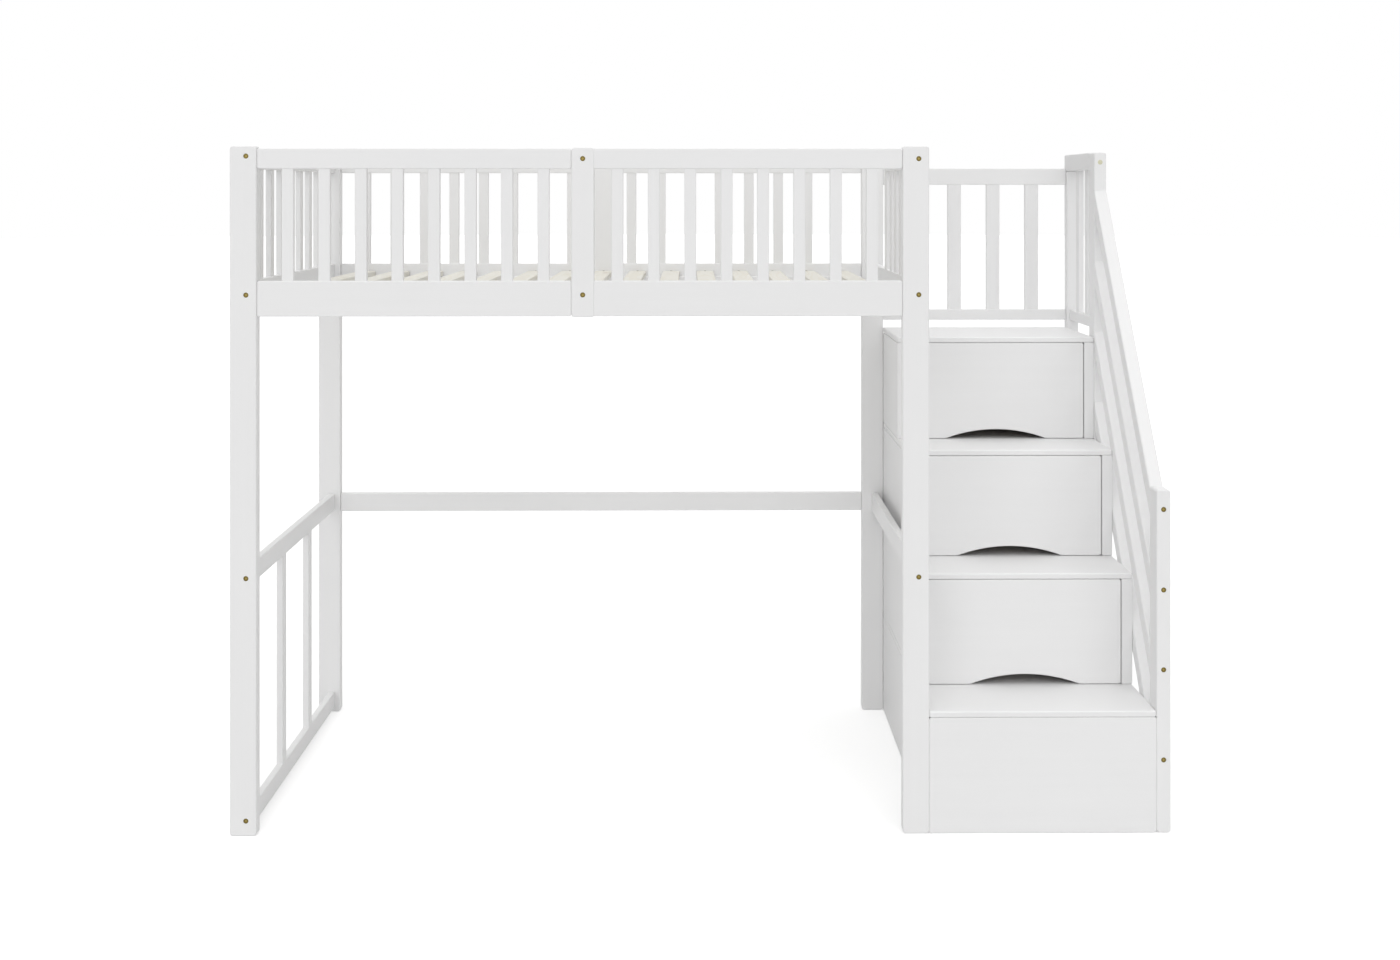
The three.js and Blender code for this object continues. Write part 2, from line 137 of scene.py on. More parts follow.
# Barrel nuts: heights in each end piece, and how far they sit from its ends.
END_NUTS = {
    "guard_left_end": (1.9465, 1.5485),
    "panel_left_end": (0.737, 0.043),
    "guard_right_end": (1.5485,),
    "stretcher_right_end": (0.737,),
}
NUT_FROM_END = 0.035

# How far the pins sit from the back panel's edges.
PIN_FROM_EDGE = 0.009

# Drawer screws, as shares of the tray's width and height, in the inner face of its front wall.
DRAWER_SCREWS = ((0.2, 0.45), (0.2, 0.8), (0.8, 0.45), (0.8, 0.8))
TRAY_WALL = 0.012


# ---- settings ----


class LoftBedPaint(bpy.types.PropertyGroup):
    """The paint of all boards but the slats and the trays"""
    colour: FloatVectorProperty(
        name="Paint Colour", description="Colour of the satin paint",
        subtype="COLOR", size=3, min=0.0, max=1.0, default=(0.833, 0.832, 0.8325),
    )
    roughness: FloatProperty(
        name="Roughness", description="How matt the dry paint is",
        subtype="FACTOR", min=0.05, max=1.0, default=0.46,
    )
    grain_depth: FloatProperty(
        name="Grain Depth", description="How deep the timber's grain shows through the paint",
        unit="LENGTH", min=0.0, max=0.001, default=0.00012, precision=5,
    )
    tone_change: FloatProperty(
        name="Tone Change", description="How far the paint's tone wanders over a board",
        subtype="FACTOR", min=0.0, max=0.2, default=0.02,
    )


class LoftBedPine(bpy.types.PropertyGroup):
    """The bare wood of the slats and the drawers' trays"""
    pale: FloatVectorProperty(
        name="Early Wood", description="Colour between the growth rings",
        subtype="COLOR", size=3, min=0.0, max=1.0, default=(0.755, 0.74, 0.68),
    )
    dark: FloatVectorProperty(
        name="Late Wood", description="Colour of the growth rings",
        subtype="COLOR", size=3, min=0.0, max=1.0, default=(0.69, 0.65, 0.55),
    )
    knot: FloatVectorProperty(
        name="Knots", description="Colour of the knots",
        subtype="COLOR", size=3, min=0.0, max=1.0, default=(0.34, 0.20, 0.10),
    )
    ring_count: FloatProperty(
        name="Ring Density", description="How close the growth rings lie",
        min=1.0, max=40.0, default=9.0,
    )
    hardboard: FloatVectorProperty(
        name="Hardboard", description="Colour of the underside of a drawer's bottom",
        subtype="COLOR", size=3, min=0.0, max=1.0, default=(0.22, 0.18, 0.14),
    )


class LoftBedBrass(bpy.types.PropertyGroup):
    """The metal of the fasteners, and the plastic of the cover cap"""
    colour: FloatVectorProperty(
        name="Brass Colour", description="Colour of the bolts and screws",
        subtype="COLOR", size=3, min=0.0, max=1.0, default=(0.16, 0.122, 0.038),
    )
    worn: FloatVectorProperty(
        name="Worn Brass", description="Colour of the brighter metal where the key turns",
        subtype="COLOR", size=3, min=0.0, max=1.0, default=(0.34, 0.266, 0.092),
    )
    roughness: FloatProperty(
        name="Roughness", description="How dull the metal is",
        subtype="FACTOR", min=0.05, max=1.0, default=0.36,
    )
    cap: FloatVectorProperty(
        name="Cap Colour", description="Colour of the cover cap near the top of the stair post",
        subtype="COLOR", size=3, min=0.0, max=1.0, default=(0.66, 0.64, 0.47),
    )


class LoftBedFittings(bpy.types.PropertyGroup):
    """The sizes of the bolt heads, screws, nuts, pins and caps"""
    bolt_width: FloatProperty(
        name="Bolt Head Width", description="Across a bolt's flat head",
        unit="LENGTH", min=0.008, max=0.0147, default=0.0146, precision=4,
    )
    bolt_below: FloatProperty(
        name="Bolt Set Back", description="How far a head lies below the face",
        unit="LENGTH", min=0.0, max=0.002, default=0.0004, precision=4,
    )
    cap_width: FloatProperty(
        name="Cap Width", description="Across the rim of a cover cap",
        unit="LENGTH", min=0.015, max=0.02, default=0.0158, precision=4,
    )
    hexagon_width: FloatProperty(
        name="Key Size", description="Across the flats of the hexagon socket",
        unit="LENGTH", min=0.003, max=0.008, default=0.006, precision=4,
    )
    screw_width: FloatProperty(
        name="Screw Head Width", description="Across the head of a countersunk screw",
        unit="LENGTH", min=0.004, max=0.012, default=0.008, precision=4,
    )
    nut_width: FloatProperty(
        name="Barrel Nut Width", description="Across the end of a barrel nut",
        unit="LENGTH", min=0.006, max=0.014, default=0.01, precision=4,
    )
    pin_width: FloatProperty(
        name="Pin Head Width", description="Across the head of a back panel pin",
        unit="LENGTH", min=0.002, max=0.008, default=0.0045, precision=4,
    )
    pin_pitch: FloatProperty(
        name="Pin Spacing", description="The largest distance between two pins",
        unit="LENGTH", min=0.05, max=0.5, default=0.16,
    )


class LoftBedStage(bpy.types.PropertyGroup):
    """The floor, the light and the camera's lens"""
    floor_colour: FloatVectorProperty(
        name="Floor Colour", description="Colour of the plain floor",
        subtype="COLOR", size=3, min=0.0, max=1.0, default=(0.8, 0.8, 0.8),
    )
    floor_glow: FloatProperty(
        name="Floor White", description="White that only the camera and reflections see",
        min=0.0, max=1.0, default=0.40,
    )
    floor_radius: FloatProperty(
        name="Floor Radius", description="How far the floor reaches",
        unit="LENGTH", min=5.0, max=200.0, default=60.0,
    )
    sky_strength: FloatProperty(
        name="Soft Light", description="Even light from all round",
        min=0.0, max=1.0, default=0.305,
    )
    left_strength: FloatProperty(
        name="Left Front Light",
        description="White that the left front lamp alone gives a surface",
        min=0.0, max=2.0, default=0.18,
    )
    right_strength: FloatProperty(
        name="Right Front Light",
        description="White that the right front lamp alone gives a surface",
        min=0.0, max=2.0, default=0.114,
    )
    top_strength: FloatProperty(
        name="Top Light", description="White that the ceiling light alone gives a surface",
        min=0.0, max=2.0, default=0.568,
    )
    lens: FloatProperty(
        name="Lens", description="Focal length of the camera in millimetres",
        min=10.0, max=200.0, default=38.60,
    )


class LoftBedSettings(bpy.types.PropertyGroup):
    """All settings of the bed's looks"""
    paint: PointerProperty(type=LoftBedPaint)
    pine: PointerProperty(type=LoftBedPine)
    brass: PointerProperty(type=LoftBedBrass)
    fittings: PointerProperty(type=LoftBedFittings)
    stage: PointerProperty(type=LoftBedStage)


# ---- shader nodes ----


def fill(tree, node, sockets):
    """Fills a node's sockets with values or with other nodes' outputs."""
    for name, value in dict(sockets).items():
        if isinstance(value, bpy.types.NodeSocket):
            tree.links.new(value, node.inputs[name])
        else:
            node.inputs[name].default_value = value


def put(tree, kind, sockets=(), **settings):
    """Adds a node, sets what it is and fills its sockets."""
    made = tree.nodes.new(kind)
    for setting, value in settings.items():
        setattr(made, setting, value)
    fill(tree, made, sockets)
    return made


def calculate(tree, operation, *values):
    """A Math node's result."""
    return put(tree, "ShaderNodeMath", enumerate(values), operation=operation).outputs[0]


def scaled(tree, vector, amount):
    """A vector or a colour times a number."""
    product = put(tree, "ShaderNodeVectorMath", {0: vector, "Scale": amount}, operation="SCALE")
    return product.outputs["Vector"]


# The Mix node's two inputs and its output, for each kind of value.
MIX_SOCKETS = {"FLOAT": (2, 3, 0), "VECTOR": (4, 5, 1), "RGBA": (6, 7, 2)}


def blend(tree, kind, share, first, second):
    """first where share is 0 and second where it is 1."""
    start, end, result = MIX_SOCKETS[kind]
    mixed = put(tree, "ShaderNodeMix", {0: share, start: first, end: second}, data_type=kind)
    return mixed.outputs[result]


def climb(tree, value, start, end, curve="SMOOTHSTEP"):
    """0 where value is start and 1 where it is end, with a smooth change between them."""
    return put(
        tree, "ShaderNodeMapRange", {"Value": value, "From Min": start, "From Max": end},
        interpolation_type=curve,
    ).outputs[0]


def noise(tree, position, pattern):
    """A noise texture's value. The pattern is its scale, its detail and its roughness."""
    scale, detail, roughness = pattern
    return put(
        tree, "ShaderNodeTexNoise",
        {"Vector": position, "Scale": scale, "Detail": detail, "Roughness": roughness},
    ).outputs["Fac"]


def new_group(name, inputs, outputs):
    """An empty node group with named sockets, each with its kind and default."""
    tree = bpy.data.node_groups.new(name, "ShaderNodeTree")
    for socket, (kind, default) in inputs.items():
        made = tree.interface.new_socket(socket, in_out="INPUT", socket_type=kind)
        made.default_value = default
    for socket, kind in outputs.items():
        tree.interface.new_socket(socket, in_out="OUTPUT", socket_type=kind)
    return tree, tree.nodes.new("NodeGroupInput").outputs


def close_group(tree, results):
    """Joins the results to the group's output sockets."""
    put(tree, "NodeGroupOutput", results)
    return tree


def place_group(tree, name, build, sockets):
    """Places the node group of that name, which is built when it is first asked for."""
    group = bpy.data.node_groups.get(name) or build()
    return put(tree, "ShaderNodeGroup", sockets, node_tree=group).outputs


# ---- node groups ----


VECTOR = "NodeSocketVector"
NUMBER = "NodeSocketFloat"
COLOUR = "NodeSocketColor"
SURFACE = {"Colour": COLOUR, "Roughness": NUMBER, "Height": NUMBER}

# How far each pattern is drawn out along the grain.
PAINT_STRETCH = 26.0
RING_STRETCH = 9.0
FIBRE_STRETCH = 40.0
KNOT_STRETCH = 1.7

# Noise patterns: scale per metre, detail and roughness.
PAINT_STREAKS = (310.0, 3.0, 0.6)
PAINT_FIBRES = (1400.0, 2.0, 0.5)
ROLLER_STIPPLE = (900.0, 1.0, 0.5)
PAINT_WANDER = (2.6, 2.0, 0.5)
PAINT_PATCHES = (28.0, 2.0, 0.5)
RING_FIELD = (11.0, 1.5, 0.45)
WOOD_FIBRES = (700.0, 2.0, 0.55)
WOOD_WANDER = (5.0, 1.0, 0.5)
METAL_MARKS = (900.0, 3.0, 0.65)
METAL_BLOTCHES = (240.0, 2.0, 0.5)
HARDBOARD_FIBRES = (600.0, 3.0, 0.7)
NOISE_MIDDLE = 0.5

# Paint: what share the second pattern has in each mix, and how strongly tone and gloss swing.
PATCHES_IN_TONE = 0.45
STREAKS_IN_TONE = 0.25
TONE_SWING = 4.0
PAINT_GLOSS_SWING = 0.22
FIBRES_IN_HEIGHT = 0.35
STIPPLE_IN_HEIGHT = 0.22

# Bare wood: knots by their distance from the middle, then rings, tone, gloss and height.
KNOT_SCALE = 9.0
KNOT_CORE = (0.20, 0.05)
KNOT_SURROUNDINGS = (0.5, 0.0)
BEND_ROUND_KNOTS = 0.22
LATE_WOOD = (0.35, 1.0)
FIBRES_IN_TONE = 0.24
WANDER_IN_TONE = 0.24
TONE_SHIFT = 0.20
WOOD_ROUGHNESS = 0.68
RING_GLOSS = -0.12
RINGS_IN_HEIGHT = 0.55
KNOT_HEIGHT = 0.4

# Metal: its darkest tone, and how strongly tone and gloss swing.
METAL_DARKEST = 0.82
BLOTCH_SWING = 0.36
METAL_GLOSS_SWING = 0.4


def grain_direction_group():
    """Which way the grain runs at a point: along the rail, or up the boards between two rails."""
    tree, given = new_group(
        "Grain Direction",
        {
            "Position": (VECTOR, ORIGIN),
            "Rail Grain": (VECTOR, ALONG_X),
            "Upright Grain": (VECTOR, UPRIGHT),
            "Lower Rail Top": (NUMBER, 0.0),
            "Upper Rail Bottom": (NUMBER, 1.0),
        },
        {"Along": VECTOR},
    )
    height = put(tree, "ShaderNodeSeparateXYZ", {0: given["Position"]}).outputs["Z"]
    below = calculate(tree, "LESS_THAN", height, given["Lower Rail Top"])
    above = calculate(tree, "GREATER_THAN", height, given["Upper Rail Bottom"])
    rail = calculate(tree, "MAXIMUM", below, above)
    along = blend(tree, "VECTOR", rail, given["Upright Grain"], given["Rail Grain"])
    return close_group(tree, {"Along": along})


def drawn_out_group():
    """A position squeezed along the grain. A pattern made from it is drawn out that way."""
    tree, given = new_group(
        "Drawn Out",
        {
            "Position": (VECTOR, ORIGIN),
            "Along": (VECTOR, UPRIGHT),
            "Stretch": (NUMBER, 12.0),
        },
        {"Position": VECTOR},
    )
    reach = put(
        tree, "ShaderNodeVectorMath", {0: given["Position"], 1: given["Along"]},
        operation="DOT_PRODUCT",
    ).outputs["Value"]
    left = calculate(tree, "DIVIDE", 1.0, given["Stretch"])
    taken = calculate(tree, "SUBTRACT", 1.0, left)
    amount = calculate(tree, "MULTIPLY", reach, taken)
    shift = scaled(tree, given["Along"], amount)
    squeezed = put(
        tree, "ShaderNodeVectorMath", {0: given["Position"], 1: shift}, operation="SUBTRACT",
    ).outputs["Vector"]
    return close_group(tree, {"Position": squeezed})


def drawn_out(tree, given, stretch):
    """The group's position, drawn out along its grain."""
    return place_group(
        tree, "Drawn Out", drawn_out_group,
        {"Position": given["Position"], "Along": given["Along"], "Stretch": stretch},
    )["Position"]


def painted_grain_group():
    """What a painted board shows: faint grain, roller stipple and a slow wander in tone."""
    tree, given = new_group(
        "Painted Grain",
        {
            "Position": (VECTOR, ORIGIN),
            "Along": (VECTOR, UPRIGHT),
            "Paint": (COLOUR, (0.8, 0.8, 0.8, 1.0)),
            "Tone Change": (NUMBER, 0.02),
            "Roughness": (NUMBER, 0.45),
        },
        SURFACE,
    )
    drawn = drawn_out(tree, given, PAINT_STRETCH)
    streaks = noise(tree, drawn, PAINT_STREAKS)
    fibres = noise(tree, drawn, PAINT_FIBRES)
    stipple = noise(tree, given["Position"], ROLLER_STIPPLE)
    wander = noise(tree, given["Position"], PAINT_WANDER)
    patches = noise(tree, drawn, PAINT_PATCHES)

    tone = blend(tree, "FLOAT", PATCHES_IN_TONE, wander, patches)
    tone = blend(tree, "FLOAT", STREAKS_IN_TONE, tone, streaks)
    swing = calculate(tree, "SUBTRACT", tone, NOISE_MIDDLE)
    swing = calculate(tree, "MULTIPLY", swing, given["Tone Change"])
    level = calculate(tree, "MULTIPLY_ADD", swing, TONE_SWING, 1.0)
    colour = scaled(tree, given["Paint"], level)

    gloss = calculate(tree, "SUBTRACT", patches, NOISE_MIDDLE)
    gloss = calculate(tree, "MULTIPLY_ADD", gloss, PAINT_GLOSS_SWING, given["Roughness"])

    height = blend(tree, "FLOAT", FIBRES_IN_HEIGHT, streaks, fibres)
    height = blend(tree, "FLOAT", STIPPLE_IN_HEIGHT, height, stipple)
    return close_group(tree, {"Colour": colour, "Roughness": gloss, "Height": height})


def bare_wood_group():
    """Bare wood: growth rings, fibres, knots and a slow wander in tone."""
    tree, given = new_group(
        "Bare Wood",
        {
            "Position": (VECTOR, ORIGIN),
            "Along": (VECTOR, ALONG_Y),
            "Early Wood": (COLOUR, (0.86, 0.80, 0.66, 1.0)),
            "Late Wood": (COLOUR, (0.72, 0.60, 0.41, 1.0)),
            "Knots": (COLOUR, (0.34, 0.20, 0.10, 1.0)),
            "Rings": (NUMBER, 13.0),
            "Ring Contrast": (NUMBER, 0.6),
            "Knot Amount": (NUMBER, 0.12),
        },
        SURFACE,
    )
    knot_place = drawn_out(tree, given, KNOT_STRETCH)
    knots = put(tree, "ShaderNodeTexVoronoi", {"Vector": knot_place, "Scale": KNOT_SCALE}).outputs
    chance = put(tree, "ShaderNodeSeparateColor", {0: knots["Color"]}).outputs["Red"]
    chosen = calculate(tree, "LESS_THAN", chance, given["Knot Amount"])
    core = calculate(tree, "MULTIPLY", climb(tree, knots["Distance"], *KNOT_CORE), chosen)
    around = climb(tree, knots["Distance"], *KNOT_SURROUNDINGS)
    bend = calculate(tree, "MULTIPLY", around, chosen)

    field = noise(tree, drawn_out(tree, given, RING_STRETCH), RING_FIELD)
    field = calculate(tree, "MULTIPLY_ADD", bend, BEND_ROUND_KNOTS, field)
    turns = calculate(tree, "MULTIPLY", field, given["Rings"])
    turns = calculate(tree, "FRACT", turns)
    ring = climb(tree, turns, *LATE_WOOD, curve="SMOOTHERSTEP")
    fibres = noise(tree, drawn_out(tree, given, FIBRE_STRETCH), WOOD_FIBRES)
    wander = noise(tree, given["Position"], WOOD_WANDER)

    late = calculate(tree, "MULTIPLY", ring, given["Ring Contrast"])
    late = calculate(tree, "MULTIPLY_ADD", fibres, FIBRES_IN_TONE, late)
    late = calculate(tree, "MULTIPLY_ADD", wander, WANDER_IN_TONE, late)
    late = calculate(tree, "SUBTRACT", late, TONE_SHIFT)
    late = put(tree, "ShaderNodeClamp", {0: late}).outputs[0]
    colour = blend(tree, "RGBA", late, given["Early Wood"], given["Late Wood"])
    colour = blend(tree, "RGBA", core, colour, given["Knots"])

    gloss = calculate(tree, "MULTIPLY_ADD", ring, RING_GLOSS, WOOD_ROUGHNESS)
    height = blend(tree, "FLOAT", RINGS_IN_HEIGHT, fibres, ring)
    height = calculate(tree, "MULTIPLY_ADD", core, KNOT_HEIGHT, height)
    return close_group(tree, {"Colour": colour, "Roughness": gloss, "Height": height})


def metal_wear_group():
    """Fine scratches and handling marks of a small metal part."""
    tree, given = new_group(
        "Metal Wear",
        {
            "Position": (VECTOR, ORIGIN),
            "Metal": (COLOUR, (0.7, 0.58, 0.34, 1.0)),
            "Roughness": (NUMBER, 0.3),
        },
        SURFACE,
    )
    marks = noise(tree, given["Position"], METAL_MARKS)
    blotches = noise(tree, given["Position"], METAL_BLOTCHES)
    level = calculate(tree, "MULTIPLY_ADD", blotches, BLOTCH_SWING, METAL_DARKEST)
    colour = scaled(tree, given["Metal"], level)
    gloss = calculate(tree, "SUBTRACT", marks, NOISE_MIDDLE)
    gloss = calculate(tree, "MULTIPLY_ADD", gloss, METAL_GLOSS_SWING, given["Roughness"])
    return close_group(tree, {"Colour": colour, "Roughness": gloss, "Height": marks})


# ---- materials ----


# Hardboard: where a face counts as turned down, its darkest tone and how far its tone swings.
TURNED_DOWN = -0.5
HARDBOARD_DARKEST = 0.7
HARDBOARD_SWING = 0.6


def start_material(name):
    """A new material with its shader, and the point's place in the bed's own frame."""
    material = bpy.data.materials.new(name)
    material.use_nodes = True
    tree = material.node_tree
    shader = tree.nodes["Principled BSDF"]
    position = put(tree, "ShaderNodeTexCoord").outputs["Object"]
    return material, tree, shader, position


def finish_surface(tree, shader, surface, depth):
    """Joins a group's colour, roughness and height to the shader. depth is in metres."""
    bump = put(
        tree, "ShaderNodeBump", {"Strength": 1.0, "Distance": depth, "Height": surface["Height"]},
    )
    fill(tree, shader, {
        "Base Color": surface["Colour"],
        "Roughness": surface["Roughness"],
        "Normal": bump.outputs["Normal"],
    })


def with_alpha(colour):
    """A colour of three values as the four that a colour socket holds."""
    return (*colour, 1.0)


def satin_paint(name, board, paint):
    """White satin paint over a timber board."""
    rail_grain, upright_grain, (gap_bottom, gap_top) = board
    material, tree, shader, position = start_material(name)
    along = place_group(
        tree, "Grain Direction", grain_direction_group,
        {
            "Position": position, "Rail Grain": rail_grain, "Upright Grain": upright_grain,
            "Lower Rail Top": gap_bottom, "Upper Rail Bottom": gap_top,
        },
    )["Along"]
    surface = place_group(
        tree, "Painted Grain", painted_grain_group,
        {
            "Position": position, "Along": along, "Paint": with_alpha(paint.colour),
            "Tone Change": paint.tone_change, "Roughness": paint.roughness,
        },
    )
    finish_surface(tree, shader, surface, paint.grain_depth)
    return material


def bare_wood(name, along, pine, contrast, knots, depth):
    """Bare softwood, planed and unpainted."""
    material, tree, shader, position = start_material(name)
    surface = place_group(
        tree, "Bare Wood", bare_wood_group,
        {
            "Position": position, "Along": along, "Early Wood": with_alpha(pine.pale),
            "Late Wood": with_alpha(pine.dark), "Knots": with_alpha(pine.knot),
            "Rings": pine.ring_count, "Ring Contrast": contrast, "Knot Amount": knots,
        },
    )
    finish_surface(tree, shader, surface, depth)
    return material


def tray_wood(name, pine):
    """A drawer's tray: pale board, with dark hardboard on whatever faces down."""
    material = bare_wood(name, ALONG_X, pine, contrast=0.3, knots=0.0, depth=0.00012)
    tree = material.node_tree
    base = tree.nodes["Principled BSDF"].inputs["Base Color"]
    normal = put(tree, "ShaderNodeNewGeometry").outputs["True Normal"]
    facing = put(tree, "ShaderNodeSeparateXYZ", {0: normal}).outputs["Z"]
    underside = calculate(tree, "LESS_THAN", facing, TURNED_DOWN)
    position = put(tree, "ShaderNodeTexCoord").outputs["Object"]
    fibres = noise(tree, position, HARDBOARD_FIBRES)
    level = calculate(tree, "MULTIPLY_ADD", fibres, HARDBOARD_SWING, HARDBOARD_DARKEST)
    board = scaled(tree, pine.hardboard, level)
    wood = base.links[0].from_socket
    tree.links.new(blend(tree, "RGBA", underside, wood, board), base)
    return material


def small_part(name, colour, roughness, metallic, depth):
    """The worn surface of a small part: 1 for metallic is metal, and 0 is plastic."""
    material, tree, shader, position = start_material(name)
    shader.inputs["Metallic"].default_value = metallic
    surface = place_group(
        tree, "Metal Wear", metal_wear_group,
        {"Position": position, "Metal": with_alpha(colour), "Roughness": roughness},
    )
    finish_surface(tree, shader, surface, depth)
    return material


def brass(name, colour, roughness):
    """Yellow passivated steel, as on furniture bolts. It is made once and then shared."""
    return bpy.data.materials.get(name) or small_part(
        name, colour, roughness, metallic=1.0, depth=0.00001,
    )


def fastener_metals(metal):
    """The dull metal of a head, and the brighter metal in its socket."""
    return (
        brass("brass_head", metal.colour, metal.roughness),
        brass("brass_socket", metal.worn, roughness=0.5),
    )


def cap_plastic(colour):
    """Moulded plastic with a fine grained face, for the cap over a bolt."""
    return small_part("cap_plastic", colour, roughness=0.42, metallic=0.0, depth=0.00002)


def coat(node, material):
    """Gives a CAD part its finish."""
    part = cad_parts[node]
    part.data.materials.clear()
    part.data.materials.append(material)


def paint_boards(boards, paint):
    """Paints each board with a finish that follows its own grain."""
    for node, board in boards.items():
        coat(node, satin_paint(f"paint_{node}", board, paint))


# ---- outlines of small fittings ----


# Sides of a round head, and the smallest value that a slot's outline divides by.
HEAD_SIDES = 36
SMALLEST = 1e-6

# A bolt's head: its rounded edge, and its hexagon socket with a chamfer and a drilled point.
BOLT_EDGE = 0.0005
BOLT_EDGE_MIDDLE = 0.3
KEY_CHAMFER = 0.0003
KEY_DEPTH = 0.0017
KEY_POINT_DEPTH = 0.0018
KEY_POINT_RADIUS = 0.0006

# Profiles of turned heads, as shares of the radius and heights above the face.
CAP_PROFILE = (
    (1.0, 0.0), (1.0, 0.0002), (0.97, 0.0004), (0.8, 0.0008), (0.5, 0.0011), (0.15, 0.0012),
)
SUNK_PROFILE = ((1.0, 0.0), (1.0, 0.0004), (0.94, 0.0006), (0.15, 0.0007))
SCREW_PROFILE = ((0.8, -0.0012), (1.0, -0.0002), (1.0, 0.0003), (0.93, 0.0006))
NUT_PROFILE = ((1.0, -0.0012), (1.0, 0.0004), (0.9, 0.0008))
PIN_PROFILE = (
    (1.0, -0.0008), (1.0, 0.0003), (0.82, 0.0007), (0.5, 0.00095), (0.15, 0.0011),
)

# Length and width of a recess as shares of the head's radius, its heights, and its inner end.
SCREW_CROSS_MOUTH = (1.25, 0.3)
SCREW_CROSS_FLOOR = (0.7, 0.2)
SCREW_MOUTH_HEIGHT = 0.0007
SCREW_POINT_HEIGHT = 0.00005
NUT_SLOT = (1.5, 0.28)
NUT_MOUTH_HEIGHT = 0.0008
RECESS_FLOOR_HEIGHT = 0.0001
RECESS_END_RADIUS = 0.0002


def round_reach(radius):
    """How far a circle reaches from its middle at an angle."""
    return lambda angle: radius


def hexagon_reach(flats):
    """How far a hexagon reaches from its middle at an angle."""
    side = math.pi / 3
    return lambda angle: flats / 2 / math.cos(angle % side - side / 2)


def slot_reach(length, width):
    """How far a straight slot reaches from its middle at an angle."""
    def reach(angle):
        far, near = abs(math.cos(angle)), abs(math.sin(angle))
        return min(length / 2 / max(far, SMALLEST), width / 2 / max(near, SMALLEST))
    return reach


def cross_reach(length, width):
    """How far a cross recess reaches from its middle at an angle."""
    slot = slot_reach(length, width)
    return lambda angle: max(slot(angle), slot(angle + math.pi / 2))


def turned(radius, profile, base=0.0):
    """The rings of a turned head, from its profile."""
    return [(round_reach(radius * share), base + height) for share, height in profile]


# ---- small fittings ----


def add_head(shape, middle, facing, outline, socket=(), metals=(0, 1)):
    """Adds one fastener's head to a mesh. outline is its rings as (reach, height above the
    seat); socket is the same for the recess, from its mouth down. The last ring is closed."""
    turn = Vector(UP).rotation_difference(Vector(facing)).to_matrix()
    centre = Vector(middle)

    def ring(reach, height):
        corners = []
        for side in range(HEAD_SIDES):
            angle = 2 * math.pi * side / HEAD_SIDES
            spot = Vector((math.cos(angle) * reach(angle), math.sin(angle) * reach(angle), height))
            corners.append(shape.verts.new(centre + turn @ spot))
        return corners

    rings = [ring(*row) for row in outline]
    under = shape.faces.new(list(reversed(rings[0])))
    under.material_index = metals[0]
    mouth = len(rings) - 1
    rings += [ring(*row) for row in socket]
    for level, (lower, upper) in enumerate(zip(rings, rings[1:])):
        for side in range(HEAD_SIDES):
            after = (side + 1) % HEAD_SIDES
            face = shape.faces.new((lower[side], lower[after], upper[after], upper[side]))
            face.material_index = metals[1] if level > mouth else metals[0]
            face.smooth = level == 0
    closing = shape.faces.new(rings[-1])
    closing.material_index = metals[1] if socket else metals[0]


def bolt_head(shape, middle, facing, fittings):
    """A flat furniture bolt: a thin round head with a rounded edge and a hexagon socket."""
    radius = fittings.bolt_width / 2
    top = SEAT_DEPTH - fittings.bolt_below
    rounding = BOLT_EDGE * BOLT_EDGE_MIDDLE
    hexagon = hexagon_reach(fittings.hexagon_width)
    wider = hexagon_reach(fittings.hexagon_width + 2 * KEY_CHAMFER)
    outline = (
        (round_reach(radius - BOLT_EDGE), 0.0),
        (round_reach(radius), BOLT_EDGE),
        (round_reach(radius), top - BOLT_EDGE),
        (round_reach(radius - rounding), top - rounding),
        (round_reach(radius - BOLT_EDGE), top),
        (wider, top),
    )
    socket = (
        (hexagon, top - KEY_CHAMFER),
        (hexagon, top - KEY_DEPTH),
        (round_reach(KEY_POINT_RADIUS), top - KEY_POINT_DEPTH),
    )
    add_head(shape, middle, facing, outline, socket)


def cover_cap(shape, middle, facing, fittings):
    """A cap pressed into a bolt's seat: a plug, and a low dome whose rim hides the seat's edge."""
    plug = round_reach(fittings.bolt_width / 2)
    dome = turned(fittings.cap_width / 2, CAP_PROFILE, base=SEAT_DEPTH)
    add_head(shape, middle, facing, [(plug, 0.0), (plug, SEAT_DEPTH), *dome], metals=(0, 0))


def sunk_head(shape, middle, facing, fittings):
    """A bolt head without a socket, painted over where it lies at the bottom of its seat."""
    outline = turned(fittings.bolt_width / 2, SUNK_PROFILE)
    add_head(shape, middle, facing, outline, metals=(0, 0))


def screw_head(shape, middle, facing, fittings):
    """A countersunk screw driven flush, with a cross recess."""
    radius = fittings.screw_width / 2
    mouth, floor = (
        cross_reach(radius * length, radius * width)
        for length, width in (SCREW_CROSS_MOUTH, SCREW_CROSS_FLOOR)
    )
    outline = [*turned(radius, SCREW_PROFILE), (mouth, SCREW_MOUTH_HEIGHT)]
    socket = (
        (floor, RECESS_FLOOR_HEIGHT),
        (round_reach(RECESS_END_RADIUS), SCREW_POINT_HEIGHT),
    )
    add_head(shape, middle, facing, outline, socket)


def barrel_nut(shape, middle, facing, fittings):
    """The end of a barrel nut in its hole, with the slot that turns it to the bolt."""
    radius = fittings.nut_width / 2
    length, width = NUT_SLOT
    slot = slot_reach(radius * length, radius * width)
    outline = [*turned(radius, NUT_PROFILE), (slot, NUT_MOUTH_HEIGHT)]
    socket = (
        (slot, RECESS_FLOOR_HEIGHT),
        (round_reach(RECESS_END_RADIUS), RECESS_FLOOR_HEIGHT),
    )
    add_head(shape, middle, facing, outline, socket)


def panel_pin(shape, middle, facing, fittings):
    """A small domed pin."""
    outline = turned(fittings.pin_width / 2, PIN_PROFILE)
    add_head(shape, middle, facing, outline, metals=(0, 0))


